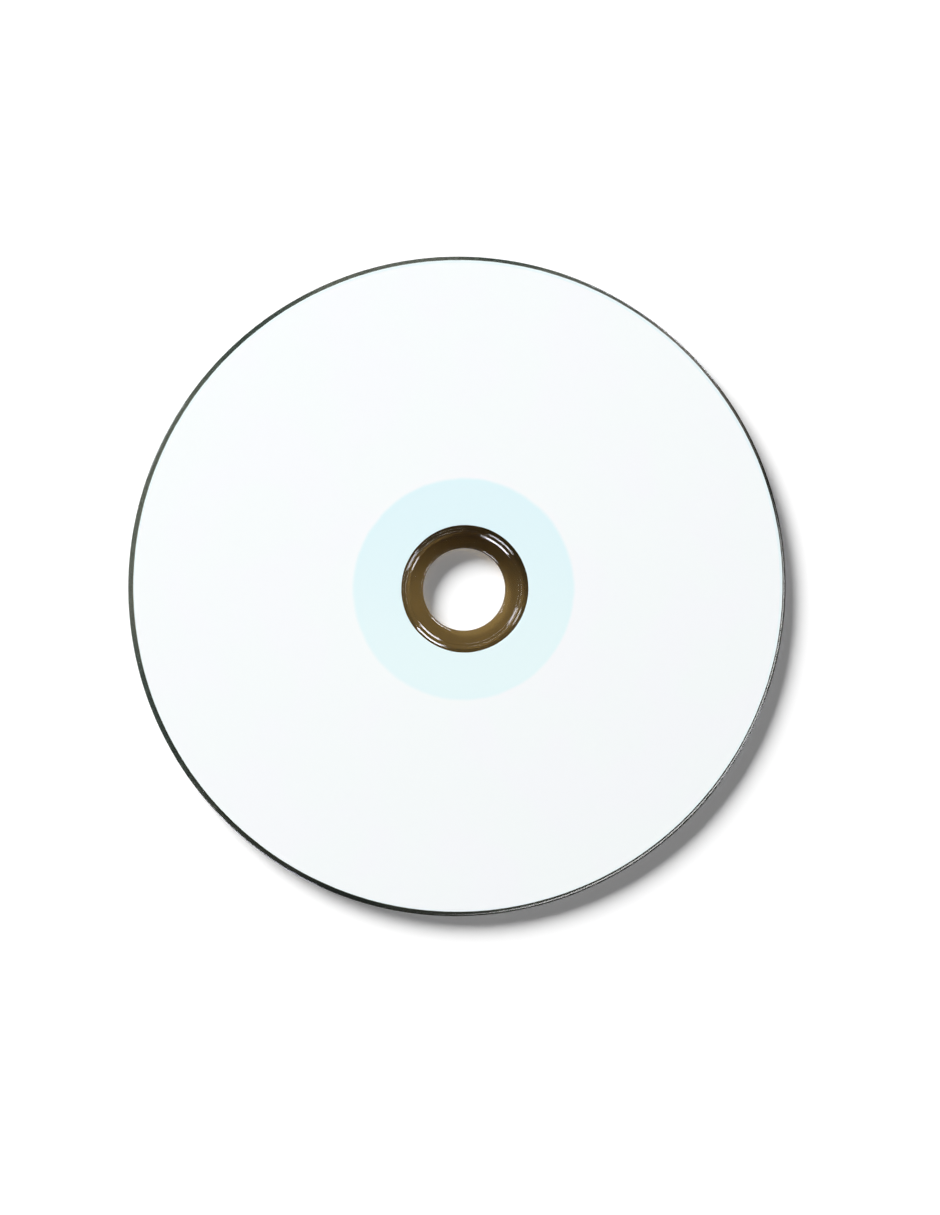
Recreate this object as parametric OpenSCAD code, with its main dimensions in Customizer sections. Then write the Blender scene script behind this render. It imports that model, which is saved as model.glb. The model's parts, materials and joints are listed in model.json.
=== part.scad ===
// Recordable compact disc with a white printable face.
// It lies label side up on its stacking ring, whose foot is at z = 0, and the z axis is the spindle's.

/* [Disc] */
// Outside diameter of the disc
disc_d = 120; // [80:1:130]
// Thickness of the moulded polycarbonate
disc_t = 1.2; // [1.1:0.05:1.5]
// Radius on both outside edges
rim_edge_r = 0.2; // [0.1:0.05:0.4]

/* [Centre hole] */
// Diameter of the hole that fits the spindle
hole_d = 15; // [14.5:0.1:16]
// Leg of the 45 degree chamfer round both ends of the hole
hole_chamfer = 0.3; // [0.1:0.05:0.4]

/* [Hub groove] */
// Mean diameter of the moulded groove in the bare hub, on the label side
groove_d = 21.1; // [20:0.1:21.4]
// Width of the groove at the surface
groove_w = 1.1; // [0.6:0.1:1.1]
// Depth of the groove at its middle
groove_depth = 0.2; // [0.1:0.05:0.3]

/* [Stacking ring] */
// Mean diameter of the raised ring on the read side, which keeps stacked discs apart
ring_d = 34; // [33:0.2:37]
// Width of the ring where it rises from the disc
ring_w = 1.2; // [1:0.1:1.6]
// Width of the flat land that the disc rests on
ring_land = 0.4; // [0.2:0.1:0.6]
// Height of the ring
ring_h = 0.3; // [0.2:0.05:0.4]

/* [Recording film] */
// Inside diameter of the film of dye, metal and lacquer, where the face changes tint
film_inner_d = 40.2; // [38:0.2:46]
// Distance from the film's outside edge to the disc's
film_margin = 1.2; // [1.1:0.1:2]
// Thickness of the film
film_t = 0.01; // [0.01:0.005:0.04]

/* [Print coat] */
// Inside diameter of the white coat, which leaves the hub bare
coat_inner_d = 23.2; // [22.8:0.2:36]
// Bare margin from the coat's outside edge to the disc's
coat_margin = 0.8; // [0.4:0.1:1]
// Thickness of the coat over the film
coat_t = 0.03; // [0.02:0.005:0.06]

/* [Hidden] */
$fn = 180;
// Overshoot that lets a cut pass cleanly through a face
eps = 0.1;

disc_r = disc_d / 2;
hole_r = hole_d / 2;
read_z = ring_h;
label_z = read_z + disc_t;
coat_top_z = label_z + film_t + coat_t;

film_inner_r = film_inner_d / 2;
film_outer_r = disc_r - film_margin;
coat_inner_r = coat_inner_d / 2;
coat_outer_r = disc_r - coat_margin;

// Every profile is drawn as radius against height, and then revolved round the spindle's axis.

// Plain band of the disc, square at the hole and rounded at the rim
module slab_profile() {
    rim_centre_r = disc_r - rim_edge_r;
    translate([hole_r, read_z])
        square([rim_centre_r - hole_r, disc_t]);
    translate([hole_r, read_z + rim_edge_r])
        square([disc_r - hole_r, disc_t - 2 * rim_edge_r]);
    for (z = [read_z + rim_edge_r, label_z - rim_edge_r])
        translate([rim_centre_r, z])
            circle(r = rim_edge_r);
}

// Triangle that chamfers one end of the hole; side is 1 at the label face and -1 at the read face
module hole_chamfer_profile(z, side) {
    polygon([
        [hole_r - eps, z + side * eps],
        [hole_r + hole_chamfer + eps, z + side * eps],
        [hole_r - eps, z - side * (hole_chamfer + eps)],
    ]);
}

// Circle whose lowest segment is the groove, as wide and as deep as stated
module groove_profile() {
    arc_r = (pow(groove_w / 2, 2) + pow(groove_depth, 2)) / (2 * groove_depth);
    translate([groove_d / 2, label_z - groove_depth + arc_r])
        circle(r = arc_r);
}

// Stacking ring, with sloping flanks and a flat land
module stacking_ring_profile() {
    ring_r = ring_d / 2;
    polygon([
        [ring_r - ring_land / 2, 0],
        [ring_r + ring_land / 2, 0],
        [ring_r + ring_w / 2, read_z],
        [ring_r + ring_w / 2, read_z + eps],
        [ring_r - ring_w / 2, read_z + eps],
        [ring_r - ring_w / 2, read_z],
    ]);
}

// Moulded disc, with its hole, its groove and its stacking ring
module polycarbonate_disc() {
    color([0.30, 0.22, 0.13, 0.75])
        rotate_extrude()
            difference() {
                union() {
                    slab_profile();
                    stacking_ring_profile();
                }
                hole_chamfer_profile(label_z, 1);
                hole_chamfer_profile(read_z, -1);
                groove_profile();
            }
}

// Section of the recording film, which is also the pocket that it fills under the coat
module film_profile() {
    translate([film_inner_r, label_z])
        square([film_outer_r - film_inner_r, film_t]);
}

// Mirror that the laser reads, seen through the polycarbonate from below
module recording_film() {
    color([0.72, 0.73, 0.76])
        rotate_extrude()
            film_profile();
}

// White coat over the film, level on top, and bonded to the bare disc inside and outside the film
module print_coat() {
    color([0.95, 0.98, 0.98])
        rotate_extrude()
            difference() {
                translate([coat_inner_r, label_z])
                    square([coat_outer_r - coat_inner_r, coat_top_z - label_z]);
                film_profile();
            }
}

polycarbonate_disc();
recording_film();
print_coat();
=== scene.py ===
# Looks of a recordable compact disc with a white printable face, which lies label side up on a pale floor.
import cmath
import json
import math

import bpy
from mathutils import Matrix, Vector


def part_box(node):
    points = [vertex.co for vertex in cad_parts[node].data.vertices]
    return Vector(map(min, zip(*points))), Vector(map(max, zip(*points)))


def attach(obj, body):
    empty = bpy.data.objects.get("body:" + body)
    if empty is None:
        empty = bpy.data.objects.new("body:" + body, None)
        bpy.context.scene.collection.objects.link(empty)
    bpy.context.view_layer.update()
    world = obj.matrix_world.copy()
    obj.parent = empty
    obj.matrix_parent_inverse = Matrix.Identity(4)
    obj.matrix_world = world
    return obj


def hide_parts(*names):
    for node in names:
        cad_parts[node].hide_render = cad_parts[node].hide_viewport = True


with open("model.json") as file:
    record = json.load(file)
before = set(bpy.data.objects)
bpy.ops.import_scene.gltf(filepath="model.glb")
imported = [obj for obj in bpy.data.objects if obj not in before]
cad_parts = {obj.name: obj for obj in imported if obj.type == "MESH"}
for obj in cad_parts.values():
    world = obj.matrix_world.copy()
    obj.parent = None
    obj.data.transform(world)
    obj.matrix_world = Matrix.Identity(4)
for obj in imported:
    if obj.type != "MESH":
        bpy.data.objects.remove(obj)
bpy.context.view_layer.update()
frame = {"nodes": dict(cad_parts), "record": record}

MM = 0.001


# Sizes from the frame
def mount(name):
    """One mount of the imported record."""
    return next(m for m in frame["record"]["mounts"] if m["name"] == name)


def radii_at(node, height):
    """Radii of a node's edges at one height, smallest first."""
    vertices = frame["nodes"][node].data.vertices
    level = [v.co for v in vertices if abs(v.co.z - height) < 0.001 * MM]
    return sorted({round(math.hypot(co.x, co.y), 6) for co in level})


FOOT_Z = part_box("polycarbonate_disc")[0].z
LABEL_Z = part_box("polycarbonate_disc")[1].z
READ_Z = mount("clamp_face_read")["pos_m"][2]
FILM_TOP_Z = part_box("recording_film")[1].z
COAT_TOP_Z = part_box("print_coat")[1].z

HOLE_R = mount("centre_hole")["dims"]["r_mm"] * MM
CHAMFER_R, GROOVE_IN_R, GROOVE_OUT_R, EDGE_R = radii_at("polycarbonate_disc", LABEL_Z)
FOOT_IN_R, FOOT_OUT_R = radii_at("polycarbonate_disc", READ_Z)[1:3]
LAND_IN_R, LAND_OUT_R = radii_at("polycarbonate_disc", FOOT_Z)
FILM_IN_R, FILM_OUT_R = radii_at("recording_film", FILM_TOP_Z)
COAT_IN_R, COAT_OUT_R = radii_at("print_coat", COAT_TOP_Z)
DISC_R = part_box("polycarbonate_disc")[1].x

# Finer sizes of the looks
GROOVE_DEPTH = 0.2 * MM
GROOVE_SLOPE = math.radians(33)
GROOVE_LIP_ROUND = 0.54 * MM
CHAMFER_ROUND = 0.06 * MM
MOUTH_ROUND = 0.25 * MM
CROWN = 0.02 * MM
CROWN_ROUND = 5.0 * MM
LAND_ROUND = 0.08 * MM
COAT_EDGE_ROUND = 0.015 * MM
PRINT_WOBBLE = 0.02 * MM
PRINT_WAVES = ((7, 0.5, 0.3), (19, 0.3, 1.9), (53, 0.25, 4.1), (131, 0.2, 2.6), (233, 0.15, 0.8))
PRINT_SHIFT = (0.13 * MM, 0.11 * MM, 0.0)
BOND = 0.002 * MM
TRACK_IN_R = 22.3 * MM
TRACK_OUT_R = 58.1 * MM
ARC_STEP = math.radians(6)
BODY_TURNS = 540
COAT_TURNS = 720

# The camera, fitted to the circles in the photograph, in pixels of its 940 by 1215 frame
FRAME_SIZE = (940, 1215)
CENTRE_PIXEL = (464.43, 589.55)
FOCAL_PIXELS = 1380.1
CAMERA_DISTANCE = 250.7 * MM
CAMERA_AZIMUTH = math.radians(157.4)
CAMERA_TILT = math.radians(5.9)
SENSOR = 36.0

# Tints of the polycarbonate: its smoke, a darker rim tint that paints the rim's dark line as shade, and the
# stretches of its rim as azimuth and half width in degrees, and tint, whose darker tints are painted dark
# reflections and whose paler tint is painted light
SMOKE = (0.34, 0.228, 0.08, 1)
RIM_SHADE_TINT = (0.1, 0.11, 0.09, 1)
RIM_PAINTED_SHADE = (0.05, 0.065, 0.055, 1)
RIM_PAINTED_LIGHT = (0.3, 0.28, 0.24, 1)
PAINTED_RIM_STRETCHES = (
    (248, 13, RIM_PAINTED_SHADE),
    (202, 20, RIM_PAINTED_SHADE),
    (130, 17, RIM_PAINTED_SHADE),
    (84, 10, RIM_PAINTED_SHADE),
    (38, 22, RIM_PAINTED_LIGHT),
)

# Rainbow fans painted on the track as painted reflection: azimuth in degrees, width and strength
PAINTED_RAINBOW_FANS = ((28, 0.5, 0.9), (96, 0.3, 0.7), (160, 0.25, 0.5))

# Light levels, where 1 is white
AMBIENT = 0.05
FLOOR_SHADE = 0.95
FLOOR_LIFT = 0.175
FAR_FLOOR_LIFT = 0.6

# The room in reflections, whose walls are brightest towards one azimuth
WALL_LIGHT = (0.2, 0.5)
WALL_SIDE = 285
CEILING_LIGHT = 0.03
LIGHT_FROM_BELOW = 2.0

# The floor as it shows through the hub, whose darker tone is painted shade and whose glow, brighter towards
# one azimuth, is painted light, and the light it gives the print's back where there is no film
UNDER_PAINTED_SHADE = 0.3
UNDER_PAINTED_GLOW = 0.33
UNDER_SIDE = 262
UNDER_GLOW = 1.0

# The bright strip in reflections, a piece of a ring round a pole, with its edges and end as cosines
STRIP_LIGHT = 14.0
STRIP_POLE = (337.4, 84.1)
STRIP_OUTER_EDGE = (0.956, 0.963)
STRIP_INNER_EDGE = (0.975, 0.981)
STRIP_SIDE = 322
STRIP_END = (0.235, 0.3)

# Lamps in degrees, metres and watts: the key throws the shadow, and the gleams light reflections only
KEY_AZIMUTH = 133
KEY_ELEVATION = 16.5
KEY_DISTANCE = 4.5
KEY_SIZE = (3.6, 1.25)
KEY_POWER = 728.0
GLEAM_ELEVATION = 32
GLEAM_DISTANCE = 1.5
GLEAM_HEIGHT = 1.05
GLEAM_COLOUR = (0.88, 0.9, 1.0)
GLEAMS = (
    ("gleam_upper_right", 47, 0.62, 49.0),
    ("gleam_lower_left", 238, 0.56, 30.0),
    ("gleam_upper_left", 152, 0.34, 14.0),
    ("gleam_lower_right", 332, 0.34, 12.0),
)


# Directions
def towards(azimuth, elevation=0):
    """Unit vector at an azimuth, anticlockwise from +X, and an elevation, both in degrees."""
    a, e = math.radians(azimuth), math.radians(elevation)
    return Vector((math.cos(a) * math.cos(e), math.sin(a) * math.cos(e), math.sin(e)))


# Sections and lathe
def rounded_section(corners):
    """Points and outward normals of a section, from its (radius, height, rounding) corners, anticlockwise."""
    points = []
    for i, (r, z, rounding) in enumerate(corners):
        here = complex(r, z)
        back = complex(*corners[i - 1][:2]) - here
        ahead = complex(*corners[(i + 1) % len(corners)][:2]) - here
        back /= abs(back)
        ahead /= abs(ahead)
        half = abs(cmath.phase(ahead / back)) / 2
        centre = here + (back + ahead) / abs(back + ahead) * rounding / math.sin(half)
        first = here + back * rounding / math.tan(half) - centre
        last = here + ahead * rounding / math.tan(half) - centre
        sweep = cmath.phase(last / first)
        outward = math.copysign(1 / rounding, sweep)
        steps = max(2, math.ceil(abs(sweep) / ARC_STEP))
        for k in range(steps + 1):
            spoke = first * cmath.exp(1j * sweep * k / steps)
            points.append((centre + spoke, spoke * outward))
    return points


def lathe(name, corners, turns, wobble=lambda r, angle: 0.0):
    """A mesh object from a section turned round the z axis, with the section's own normals."""
    section = rounded_section(corners)
    vertices, normals, faces = [], [], []
    for j in range(turns):
        angle = 2 * math.pi * j / turns
        along, across = math.cos(angle), math.sin(angle)
        for point, normal in section:
            r = point.real + wobble(point.real, angle)
            vertices.append((r * along, r * across, point.imag))
            normals.append((normal.real * along, normal.real * across, normal.imag))
    count = len(section)
    for j in range(turns):
        here, there = j * count, (j + 1) % turns * count
        for i in range(count):
            k = (i + 1) % count
            faces.append((here + i, there + i, there + k, here + k))
    mesh = bpy.data.meshes.new(name)
    mesh.from_pydata(vertices, [], faces)
    mesh.shade_smooth()
    mesh.normals_split_custom_set_from_vertices(normals)
    piece = bpy.data.objects.new(name, mesh)
    bpy.context.scene.collection.objects.link(piece)
    return piece


# Pieces
def groove_corner():
    """The corner under the groove whose rounding gives its depth: how deep it lies, and its rounding."""
    half_width = (GROOVE_OUT_R - GROOVE_IN_R) / 2
    corner_depth = half_width * math.tan(GROOVE_SLOPE)
    rounding = (corner_depth - GROOVE_DEPTH) / (1 / math.cos(GROOVE_SLOPE) - 1)
    return corner_depth, rounding


def disc_body():
    """The moulded polycarbonate, with its hole, groove, rim and stacking ring."""
    chamfer = CHAMFER_R - HOLE_R
    rim_round = DISC_R - EDGE_R
    groove_depth, groove_round = groove_corner()
    groove_mid_r = (GROOVE_IN_R + GROOVE_OUT_R) / 2
    return lathe("disc_body", [
        (HOLE_R, READ_Z + chamfer, CHAMFER_ROUND),
        (CHAMFER_R, READ_Z, CHAMFER_ROUND),
        (FOOT_IN_R, READ_Z, CHAMFER_ROUND),
        (LAND_IN_R, FOOT_Z, LAND_ROUND),
        (LAND_OUT_R, FOOT_Z, LAND_ROUND),
        (FOOT_OUT_R, READ_Z, CHAMFER_ROUND),
        (DISC_R, READ_Z, rim_round),
        (DISC_R, LABEL_Z - CROWN, rim_round),
        (COAT_OUT_R + 0.36 * MM, LABEL_Z, CROWN_ROUND),
        (COAT_OUT_R - 0.2 * MM, LABEL_Z - CROWN, 0.1 * MM),
        (COAT_OUT_R - 0.3 * MM, LABEL_Z, 0.1 * MM),
        (GROOVE_OUT_R, LABEL_Z, GROOVE_LIP_ROUND),
        (groove_mid_r, LABEL_Z - groove_depth, groove_round),
        (GROOVE_IN_R, LABEL_Z, GROOVE_LIP_ROUND),
        (CHAMFER_R, LABEL_Z, MOUTH_ROUND),
        (HOLE_R, LABEL_Z - chamfer, CHAMFER_ROUND),
    ], BODY_TURNS)


def mirror_film():
    """The metal film, let into the polycarbonate by the bond so that no air shows between them."""
    return lathe("mirror_film", [
        (FILM_IN_R, LABEL_Z - BOND, BOND),
        (FILM_OUT_R, LABEL_Z - BOND, BOND),
        (FILM_OUT_R, FILM_TOP_Z, BOND),
        (FILM_IN_R, FILM_TOP_Z, BOND),
    ], BODY_TURNS)


def print_wobble(r, angle):
    """How far a printed edge strays from its circle: a sum of waves, each a count, share and phase."""
    if COAT_IN_R + COAT_EDGE_ROUND < r < COAT_OUT_R - COAT_EDGE_ROUND:
        return 0.0
    spin = r / DISC_R
    return PRINT_WOBBLE * sum(a * math.sin(n * angle + p * (1 + 5 * spin)) for n, a, p in PRINT_WAVES)


def white_face():
    """The printed coat, over the film and onto the bare polycarbonate at both of its edges."""
    bottom, over_film = LABEL_Z - BOND, FILM_TOP_Z - BOND
    lap = 0.05 * MM
    face = lathe("white_face", [
        (COAT_IN_R, bottom, BOND),
        (FILM_IN_R, bottom, BOND),
        (FILM_IN_R + lap, over_film, BOND),
        (FILM_OUT_R - lap, over_film, BOND),
        (FILM_OUT_R, bottom, BOND),
        (COAT_OUT_R, bottom, BOND),
        (COAT_OUT_R, COAT_TOP_Z, COAT_EDGE_ROUND),
        (COAT_IN_R, COAT_TOP_Z, COAT_EDGE_ROUND),
    ], COAT_TURNS, print_wobble)
    face.data.transform(Matrix.Translation(PRINT_SHIFT))
    return face


# Node graphs
def shade(red, green, blue):
    """A colour from its 8-bit sRGB values."""
    def linear(value):
        value /= 255
        return value / 12.92 if value <= 0.04045 else ((value + 0.055) / 1.055) ** 2.4
    return (linear(red), linear(green), linear(blue), 1.0)


class Graph:
    """Short calls that add nodes to one node tree and join them."""

    def __init__(self, owner):
        owner.use_nodes = True
        self.tree = owner.node_tree
        self.tree.nodes.clear()

    def add(self, kind, inputs=None, **settings):
        node = self.tree.nodes.new("ShaderNode" + kind)
        for name, value in settings.items():
            setattr(node, name, value)
        for key, value in (inputs or {}).items():
            if isinstance(value, bpy.types.NodeSocket):
                self.tree.links.new(value, node.inputs[key])
            else:
                node.inputs[key].default_value = value
        return node

    def maths(self, operation, *values):
        return self.add("Math", dict(enumerate(values)), operation=operation).outputs[0]

    def times(self, first, *others):
        """The product of all the values."""
        for other in others:
            first = self.maths("MULTIPLY", first, other)
        return first

    def ease(self, value, start, end, low=0.0, high=1.0):
        """A smooth step from low at start to high at end."""
        inputs = {"Value": value, "From Min": start, "From Max": end, "To Min": low, "To Max": high}
        return self.add("MapRange", inputs, interpolation_type="SMOOTHSTEP").outputs["Result"]

    def mix(self, factor, first, second, blend_type="MIX"):
        """A mix of two colours."""
        inputs = {0: factor, 6: first, 7: second}
        return self.add("Mix", inputs, data_type="RGBA", blend_type=blend_type).outputs[2]

    def noise(self, place, size, detail=3.0, roughness=0.5):
        """Noise from 0 to 1 whose spots are about size across."""
        inputs = {"Vector": place, "Scale": 1 / size, "Detail": detail, "Roughness": roughness}
        return self.add("TexNoise", inputs).outputs["Fac"]

    def place(self):
        """Where a point lies on the piece."""
        return self.add("TexCoord").outputs["Object"]

    def radius(self, place):
        """Distance from the spindle's axis."""
        flat = self.add("VectorMath", {0: place, 1: (1, 1, 0)}, operation="MULTIPLY").outputs[0]
        return self.add("VectorMath", {0: flat}, operation="LENGTH").outputs["Value"]

    def along(self, place, direction):
        """How far a place or a ray reaches along a direction."""
        return self.add("VectorMath", {0: place, 1: direction}, operation="DOT_PRODUCT").outputs["Value"]

    def finish(self, surface):
        """Joins a surface to the material's output."""
        self.add("OutputMaterial", {"Surface": surface})


# Materials
def white_coat_material():
    """Matte white ink, which goes pale cyan where no metal lies behind it, and whose pale band has painted
    shade towards the top.
    """
    material = bpy.data.materials.new("white_coat")
    g = Graph(material)
    place = g.place()
    radius = g.radius(place)
    y = g.add("SeparateXYZ", {0: place}).outputs["Y"]

    wide = g.noise(place, 14 * MM, 2.0)
    face = g.mix(g.ease(wide, 0.4, 0.65), shade(247, 251, 251), shade(248, 250, 252))
    # Painted shade: the pale band is painted darker towards the top.
    upper = g.ease(y, -18 * MM, 18 * MM)
    bare = g.mix(upper, shade(232, 249, 250), shade(225, 246, 250))

    waver = g.times(g.noise(place, 3 * MM), 0.5 * MM)
    strayed = g.maths("ADD", radius, waver)
    inside = g.ease(strayed, FILM_IN_R - 0.1 * MM, FILM_IN_R + 0.7 * MM, 1.0, 0.0)
    outside = g.ease(radius, FILM_OUT_R - 0.1 * MM, FILM_OUT_R + 0.2 * MM, 0.0, 0.5)
    colour = g.mix(g.maths("MAXIMUM", inside, outside), face, bare)

    grain = g.noise(place, 0.12 * MM, 2.0, 0.7)
    speck = g.ease(grain, 0.3, 0.75, 0.985, 1.0)
    colour = g.mix(1.0, colour, speck, "MULTIPLY")
    bump = g.add("Bump", {"Height": grain, "Strength": 0.25, "Distance": 0.004 * MM})
    ink = g.add("BsdfPrincipled", {
        "Base Color": colour,
        "Roughness": g.ease(wide, 0.3, 0.7, 0.72, 0.8),
        "Specular IOR Level": 0.2,
        "Normal": bump.outputs[0],
    })
    g.finish(ink.outputs[0])
    return material


def painted_rim_tint(g, place):
    """Tint of the rim, darker than the smoke as painted shade, and darker or paler along a few stretches as
    painted dark reflections and painted light.
    """
    tint = RIM_SHADE_TINT
    for azimuth, half_width, painted_tint in PAINTED_RIM_STRETCHES:
        reach = g.along(place, towards(azimuth))
        stretch = g.ease(reach, DISC_R * math.cos(math.radians(half_width)), DISC_R)
        tint = g.mix(stretch, tint, painted_tint)
    return tint


def polycarbonate_material():
    """Smoke-brown translucent polycarbonate, polished, with tiny raised specks, and a rim tinted darker as
    painted shade.
    """
    material = bpy.data.materials.new("smoke_polycarbonate")
    g = Graph(material)
    place = g.place()
    radius = g.radius(place)
    cells = g.add("TexVoronoi", {"Vector": place, "Scale": 1 / (0.9 * MM)}).outputs["Distance"]
    specks = g.ease(cells, 0.0, 0.1, 1.0, 0.0)
    bump = g.add("Bump", {"Height": specks, "Distance": 0.024 * MM})
    # Painted shade: from just inside the print's outer edge outwards, the rim takes the darker rim tint.
    rim_shade_mask = g.ease(radius, COAT_OUT_R - 0.3 * MM, COAT_OUT_R + 0.1 * MM)
    tint = g.mix(rim_shade_mask, SMOKE, painted_rim_tint(g, place))
    uneven = g.ease(g.noise(place, 2 * MM), 0.3, 0.8, 0.8, 1.2)
    gloss = g.ease(radius, 12 * MM, 14 * MM, 0.1, 0.08)
    glass = g.add("BsdfPrincipled", {
        "Base Color": tint,
        "Roughness": g.times(gloss, uneven),
        "IOR": 1.585,
        "Transmission Weight": 1.0,
        "Normal": bump.outputs[0],
    })
    slanting = g.add("Gamma", {"Color": tint, "Gamma": 3.0}).outputs[0]
    clear = g.add("BsdfTransparent", {"Color": slanting})
    lamp = g.add("LightPath").outputs["Is Shadow Ray"]
    surface = g.add("MixShader", {0: lamp, 1: glass.outputs[0], 2: clear.outputs[0]})
    g.finish(surface.outputs[0])
    return material


def painted_rainbow_fan(g, place, radius, azimuth, width):
    """Strength and colour of two opposite painted rainbow fans, a painted reflection, whose hue runs from the
    middle to the sides and outwards.
    """
    across = g.maths("DIVIDE", g.along(place, towards(azimuth + 90)), radius)
    across = g.maths("ABSOLUTE", across)
    strength = g.ease(across, 0.0, width, 1.0, 0.0)
    hue = g.maths("ADD", g.times(across, 0.8 / width), g.times(radius, 4.0))
    hue = g.maths("FRACT", hue)
    colour = g.add("CombineColor", {0: hue, 1: 0.65, 2: 1.0}, mode="HSV").outputs[0]
    return strength, colour


def mirror_film_material():
    """Metal over the spiral track, whose rainbow fans are painted into its colour as painted reflection,
    between two plain mirror bands.
    """
    material = bpy.data.materials.new("mirror_film")
    g = Graph(material)
    place = g.place()
    radius = g.radius(place)
    track = g.times(
        g.ease(radius, TRACK_IN_R - 0.1 * MM, TRACK_IN_R + 0.1 * MM),
        g.ease(radius, TRACK_OUT_R - 0.1 * MM, TRACK_OUT_R + 0.1 * MM, 1.0, 0.0),
    )
    colour = g.mix(track, shade(214, 216, 222), shade(196, 208, 206))
    # Painted reflection: rainbow fans mixed into the track's colour.
    for azimuth, width, most in PAINTED_RAINBOW_FANS:
        strength, fan = painted_rainbow_fan(g, place, radius, azimuth, width)
        strength = g.times(strength, g.times(track, most))
        colour = g.mix(strength, colour, fan)
    metal = g.add("BsdfPrincipled", {
        "Base Color": colour,
        "Metallic": 1.0,
        "Roughness": g.ease(track, 0.0, 1.0, 0.06, 0.2),
        "Anisotropic": 0.7,
        "Tangent": g.add("Tangent", direction_type="RADIAL", axis="Z").outputs[0],
    })
    g.finish(metal.outputs[0])
    return material


def background_rays(g):
    """1 for rays that show the background: the camera's, and those that reflections and glass send on."""
    path = g.add("LightPath").outputs
    seen = g.maths("MAXIMUM", path["Is Camera Ray"], path["Is Glossy Ray"])
    seen = g.maths("MAXIMUM", seen, path["Is Transmission Ray"])
    return g.times(seen, g.maths("LESS_THAN", path["Diffuse Depth"], 0.5))


def painted_glow_under_hub(g, place, radius):
    """Painted glow of the floor as it shows through the hub, brighter towards one side, with painted shade
    near the print's inner edge.
    """
    side = g.ease(g.along(place, towards(UNDER_SIDE)), -10 * MM, 4 * MM, 0.0, UNDER_PAINTED_GLOW)
    return g.times(side, g.ease(radius, 10.8 * MM, COAT_IN_R, 1.0, 0.4))


def light_on_print_back(g, radius, path):
    """Light from the floor, for the back of the print in the clear band between the hub and the film."""
    return g.times(
        g.ease(radius, 12 * MM, 14 * MM),
        g.ease(radius, FILM_IN_R, FILM_IN_R + 3 * MM, 1.0, 0.0),
        g.maths("GREATER_THAN", path["Diffuse Depth"], 0.5),
        UNDER_GLOW,
    )


def floor_material():
    """Pale floor that keeps the shadow, goes to plain white further out and is clear from below, and which
    shows through the hub with painted shade and a painted glow.
    """
    material = bpy.data.materials.new("pale_floor")
    g = Graph(material)
    place = g.place()
    radius = g.radius(place)
    path = g.add("LightPath").outputs
    lift = g.ease(radius, 66 * MM, 200 * MM, FLOOR_LIFT, FAR_FLOOR_LIFT)
    near = g.ease(radius, 20 * MM, 40 * MM, 1.0, 0.0)
    # Rays through the plastic near the disc see the painted glow and painted shade under the hub.
    through = g.times(near, path["Is Transmission Ray"])
    level = g.add("Mix", {0: through, 2: lift, 3: painted_glow_under_hub(g, place, radius)}).outputs[0]
    level = g.times(level, background_rays(g))
    glow = g.add("Emission", {"Strength": g.maths("ADD", level, light_on_print_back(g, radius, path))})
    # Painted shade: the floor is darker where it shows through the plastic.
    tone = g.add("Mix", {0: through, 2: FLOOR_SHADE, 3: UNDER_PAINTED_SHADE}).outputs[0]
    paint = g.add("BsdfDiffuse", {"Color": tone})
    lit = g.add("AddShader", {0: glow.outputs[0], 1: paint.outputs[0]})
    behind = g.add("NewGeometry").outputs["Backfacing"]
    surface = g.add("MixShader", {0: behind, 1: lit.outputs[0], 2: g.add("BsdfTransparent").outputs[0]})
    g.finish(surface.outputs[0])
    return material


# Stage
def make_floor():
    """A wide square just under the disc's foot."""
    reach = 4.0
    drop = 0.01 * MM
    mesh = bpy.data.meshes.new("floor")
    corners = [(x * reach, y * reach, -drop) for x, y in ((-1, -1), (1, -1), (1, 1), (-1, 1))]
    mesh.from_pydata(corners, [], [(0, 1, 2, 3)])
    floor = bpy.data.objects.new("floor", mesh)
    bpy.context.scene.collection.objects.link(floor)
    mesh.materials.append(floor_material())


def strip_light(g, way):
    """Light of the strip in a direction."""
    ring = g.along(way, towards(*STRIP_POLE))
    outer = g.ease(ring, *STRIP_OUTER_EDGE, 0.0, STRIP_LIGHT)
    inner = g.ease(ring, *STRIP_INNER_EDGE, 1.0, 0.0)
    return g.times(outer, inner, g.ease(g.along(way, towards(STRIP_SIDE)), *STRIP_END))


def make_world():
    """White behind everything, a faint even light, and in reflections a room with pale walls and a strip."""
    world = bpy.data.worlds.new("studio")
    bpy.context.scene.world = world
    g = Graph(world)
    way = g.add("TexCoord").outputs["Generated"]
    height = g.along(way, (0, 0, 1))
    low = g.ease(height, 0.1, 0.45, 1.0, 0.0)
    walls = g.times(low, g.ease(g.along(way, towards(WALL_SIDE)), -0.6, 0.9, *WALL_LIGHT))
    below = g.ease(height, -0.9, -0.2, LIGHT_FROM_BELOW, 0.0)
    room = g.maths("ADD", g.maths("ADD", walls, strip_light(g, way)), CEILING_LIGHT)
    room = g.maths("ADD", room, below)
    path = g.add("LightPath").outputs
    reflected = g.times(path["Is Glossy Ray"], room)
    plain = g.times(path["Is Transmission Ray"], g.maths("ADD", below, 1.0))
    plain = g.maths("MAXIMUM", path["Is Camera Ray"], plain)
    direct = g.maths("LESS_THAN", path["Diffuse Depth"], 0.5)
    shown = g.times(g.maths("MAXIMUM", plain, reflected), direct)
    level = g.maths("MAXIMUM", shown, AMBIENT)
    sky = g.add("Background", {"Strength": level})
    g.add("OutputWorld", {"Surface": sky.outputs[0]})


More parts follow.
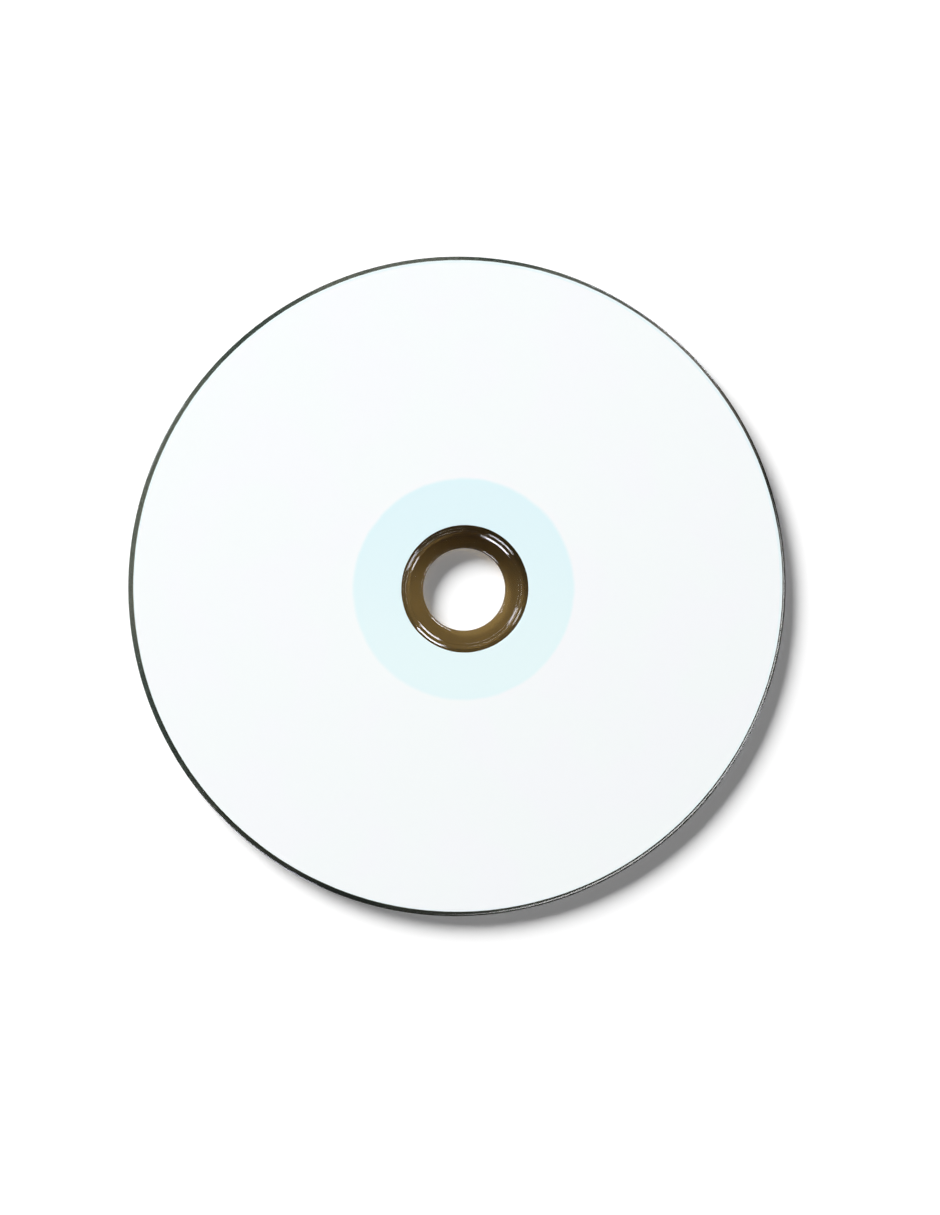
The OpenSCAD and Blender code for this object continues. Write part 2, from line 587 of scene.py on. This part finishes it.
def add_lamp(name, azimuth, elevation, distance, size, power, shape="RECTANGLE"):
    """An area lamp that faces the middle of the disc."""
    data = bpy.data.lights.new(name, "AREA")
    data.shape = shape
    data.size, data.size_y = size
    data.energy = power
    lamp = bpy.data.objects.new(name, data)
    bpy.context.scene.collection.objects.link(lamp)
    way = towards(azimuth, elevation)
    lamp.location = Vector((0, 0, LABEL_Z)) + way * distance
    lamp.rotation_mode = "QUATERNION"
    lamp.rotation_quaternion = way.to_track_quat("Z", "Y")
    return lamp


def make_lamps():
    """The low key lamp, and the gleams round it."""
    key = add_lamp("key", KEY_AZIMUTH, KEY_ELEVATION, KEY_DISTANCE, KEY_SIZE, KEY_POWER, "ELLIPSE")
    key.visible_glossy = False
    key.visible_transmission = False
    for name, azimuth, width, power in GLEAMS:
        gleam = add_lamp(name, azimuth, GLEAM_ELEVATION, GLEAM_DISTANCE, (width, GLEAM_HEIGHT), power)
        gleam.data.color = GLEAM_COLOUR
        gleam.visible_diffuse = False
        gleam.visible_transmission = False


def make_camera():
    """The photograph's camera, whose frame is shifted so that the disc's centre falls on its pixel."""
    data = bpy.data.cameras.new("camera")
    data.sensor_width = SENSOR
    data.lens = FOCAL_PIXELS / FRAME_SIZE[1] * SENSOR
    data.shift_x = (FRAME_SIZE[0] / 2 - CENTRE_PIXEL[0]) / FRAME_SIZE[1]
    data.shift_y = (CENTRE_PIXEL[1] - FRAME_SIZE[1] / 2) / FRAME_SIZE[1]
    data.clip_start, data.clip_end = 0.01, 20.0
    camera = bpy.data.objects.new("camera", data)
    bpy.context.scene.collection.objects.link(camera)
    back = Vector((
        math.sin(CAMERA_TILT) * math.cos(CAMERA_AZIMUTH),
        math.sin(CAMERA_TILT) * math.sin(CAMERA_AZIMUTH),
        math.cos(CAMERA_TILT),
    ))
    right = Vector((0, 1, 0)).cross(back).normalized()
    up = back.cross(right)
    turn = Matrix((right, up, back)).transposed().to_4x4()
    camera.matrix_world = Matrix.Translation(Vector((0, 0, LABEL_Z)) + back * CAMERA_DISTANCE) @ turn
    bpy.context.scene.camera = camera


# Assembly
def dress(piece, node, material):
    """Puts a material on a piece, which replaces a solid: the piece joins the root body, and the solid is
    hidden.
    """
    piece.data.materials.append(material)
    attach(piece, "root")
    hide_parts(node)


bpy.context.scene.view_settings.view_transform = "Standard"
make_camera()
make_world()
make_lamps()
make_floor()
dress(disc_body(), "polycarbonate_disc", polycarbonate_material())
dress(mirror_film(), "recording_film", mirror_film_material())
dress(white_face(), "print_coat", white_coat_material())
